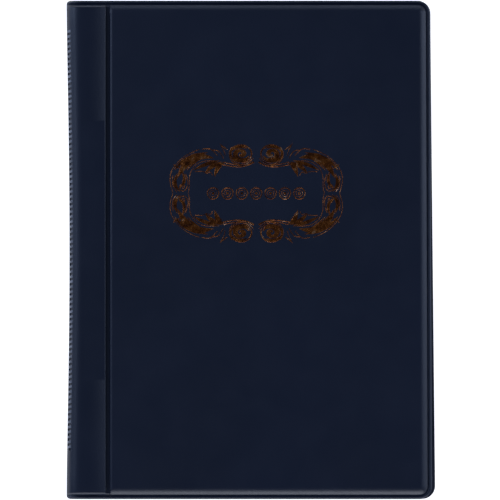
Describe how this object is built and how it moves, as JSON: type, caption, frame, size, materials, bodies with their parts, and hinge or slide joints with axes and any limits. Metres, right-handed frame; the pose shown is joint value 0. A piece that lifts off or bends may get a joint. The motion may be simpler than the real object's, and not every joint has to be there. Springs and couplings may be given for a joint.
{
  "type": "coin album",
  "caption": "Closed pocket album for coins: padded vinyl covers that open on hinge grooves, a bound spine, and clear leaves with welded pockets that turn.",
  "frame": {"origin": "middle of the album's footprint, on the back cover's outer face", "axes": "+Z out of the front cover, +Y towards the head, -X towards the spine"},
  "size_m": [0.1258, 0.17, 0.014],
  "materials": {
    "cover_vinyl": "satin embossed vinyl",
    "lining_vinyl": "matt vinyl",
    "greyboard": "raw",
    "foam": "soft",
    "clear_vinyl": "gloss",
    "weld_seam": "satin",
    "foil": "hot-stamped foil"
  },
  "bodies": {
    "spine": {"spine_skin": "cover_vinyl", "spine_board": "greyboard", "front_strip_skin": "cover_vinyl", "front_strip_board": "greyboard", "front_strip_lining": "lining_vinyl", "front_groove_film": "cover_vinyl", "back_strip_skin": "cover_vinyl", "back_strip_board": "greyboard", "back_strip_lining": "lining_vinyl", "back_groove_film": "cover_vinyl", "leaf_01_margin": "weld_seam", "leaf_02_margin": "weld_seam", "leaf_03_margin": "weld_seam", "leaf_04_margin": "weld_seam", "leaf_05_margin": "weld_seam", "leaf_06_margin": "weld_seam", "leaf_07_margin": "weld_seam", "leaf_08_margin": "weld_seam", "leaf_09_margin": "weld_seam", "leaf_10_margin": "weld_seam"},
    "back_cover": {"back_cover_skin": "cover_vinyl", "back_cover_foam": "foam", "back_cover_board": "greyboard", "back_cover_lining": "lining_vinyl"},
    "leaf_10": {"leaf_10_sheet": "clear_vinyl", "leaf_10_seams": "weld_seam", "leaf_10_film": "clear_vinyl"},
    "leaf_09": {"leaf_09_sheet": "clear_vinyl", "leaf_09_seams": "weld_seam", "leaf_09_film": "clear_vinyl"},
    "leaf_08": {"leaf_08_sheet": "clear_vinyl", "leaf_08_seams": "weld_seam", "leaf_08_film": "clear_vinyl"},
    "leaf_07": {"leaf_07_sheet": "clear_vinyl", "leaf_07_seams": "weld_seam", "leaf_07_film": "clear_vinyl"},
    "leaf_06": {"leaf_06_sheet": "clear_vinyl", "leaf_06_seams": "weld_seam", "leaf_06_film": "clear_vinyl"},
    "leaf_05": {"leaf_05_sheet": "clear_vinyl", "leaf_05_seams": "weld_seam", "leaf_05_film": "clear_vinyl"},
    "leaf_04": {"leaf_04_sheet": "clear_vinyl", "leaf_04_seams": "weld_seam", "leaf_04_film": "clear_vinyl"},
    "leaf_03": {"leaf_03_sheet": "clear_vinyl", "leaf_03_seams": "weld_seam", "leaf_03_film": "clear_vinyl"},
    "leaf_02": {"leaf_02_sheet": "clear_vinyl", "leaf_02_seams": "weld_seam", "leaf_02_film": "clear_vinyl"},
    "leaf_01": {"leaf_01_sheet": "clear_vinyl", "leaf_01_seams": "weld_seam", "leaf_01_film": "clear_vinyl"},
    "front_cover": {"front_cover_skin": "cover_vinyl", "front_cover_foam": "foam", "front_cover_board": "greyboard", "front_cover_lining": "lining_vinyl"}
  },
  "joints": [
    {"name": "back_cover_hinge", "type": "hinge", "parent": "spine", "child": "back_cover", "pos_m": [-0.0489, 0, -0.0001], "axis": [0, -1, 0], "range_deg": [-180, 0]},
    {"name": "leaf_10_hinge", "type": "hinge", "parent": "spine", "child": "leaf_10", "pos_m": [-0.0489, 0, 0.0141], "axis": [0, -1, 0], "range_deg": [0, 180]},
    {"name": "leaf_09_hinge", "type": "hinge", "parent": "leaf_10", "child": "leaf_09", "pos_m": [-0.0489, 0, 0.0141], "axis": [0, -1, 0], "range_deg": [0, 180]},
    {"name": "leaf_08_hinge", "type": "hinge", "parent": "leaf_09", "child": "leaf_08", "pos_m": [-0.0489, 0, 0.0141], "axis": [0, -1, 0], "range_deg": [0, 180]},
    {"name": "leaf_07_hinge", "type": "hinge", "parent": "leaf_08", "child": "leaf_07", "pos_m": [-0.0489, 0, 0.0141], "axis": [0, -1, 0], "range_deg": [0, 180]},
    {"name": "leaf_06_hinge", "type": "hinge", "parent": "leaf_07", "child": "leaf_06", "pos_m": [-0.0489, 0, 0.0141], "axis": [0, -1, 0], "range_deg": [0, 180]},
    {"name": "leaf_05_hinge", "type": "hinge", "parent": "leaf_06", "child": "leaf_05", "pos_m": [-0.0489, 0, 0.0141], "axis": [0, -1, 0], "range_deg": [0, 180]},
    {"name": "leaf_04_hinge", "type": "hinge", "parent": "leaf_05", "child": "leaf_04", "pos_m": [-0.0489, 0, 0.0141], "axis": [0, -1, 0], "range_deg": [0, 180]},
    {"name": "leaf_03_hinge", "type": "hinge", "parent": "leaf_04", "child": "leaf_03", "pos_m": [-0.0489, 0, 0.0141], "axis": [0, -1, 0], "range_deg": [0, 180]},
    {"name": "leaf_02_hinge", "type": "hinge", "parent": "leaf_03", "child": "leaf_02", "pos_m": [-0.0489, 0, 0.0141], "axis": [0, -1, 0], "range_deg": [0, 180]},
    {"name": "leaf_01_hinge", "type": "hinge", "parent": "leaf_02", "child": "leaf_01", "pos_m": [-0.0489, 0, 0.0141], "axis": [0, -1, 0], "range_deg": [0, 180]},
    {"name": "front_cover_hinge", "type": "hinge", "parent": "leaf_01", "child": "front_cover", "pos_m": [-0.0489, 0, 0.0141], "axis": [0, -1, 0], "range_deg": [0, 180]}
  ]
}
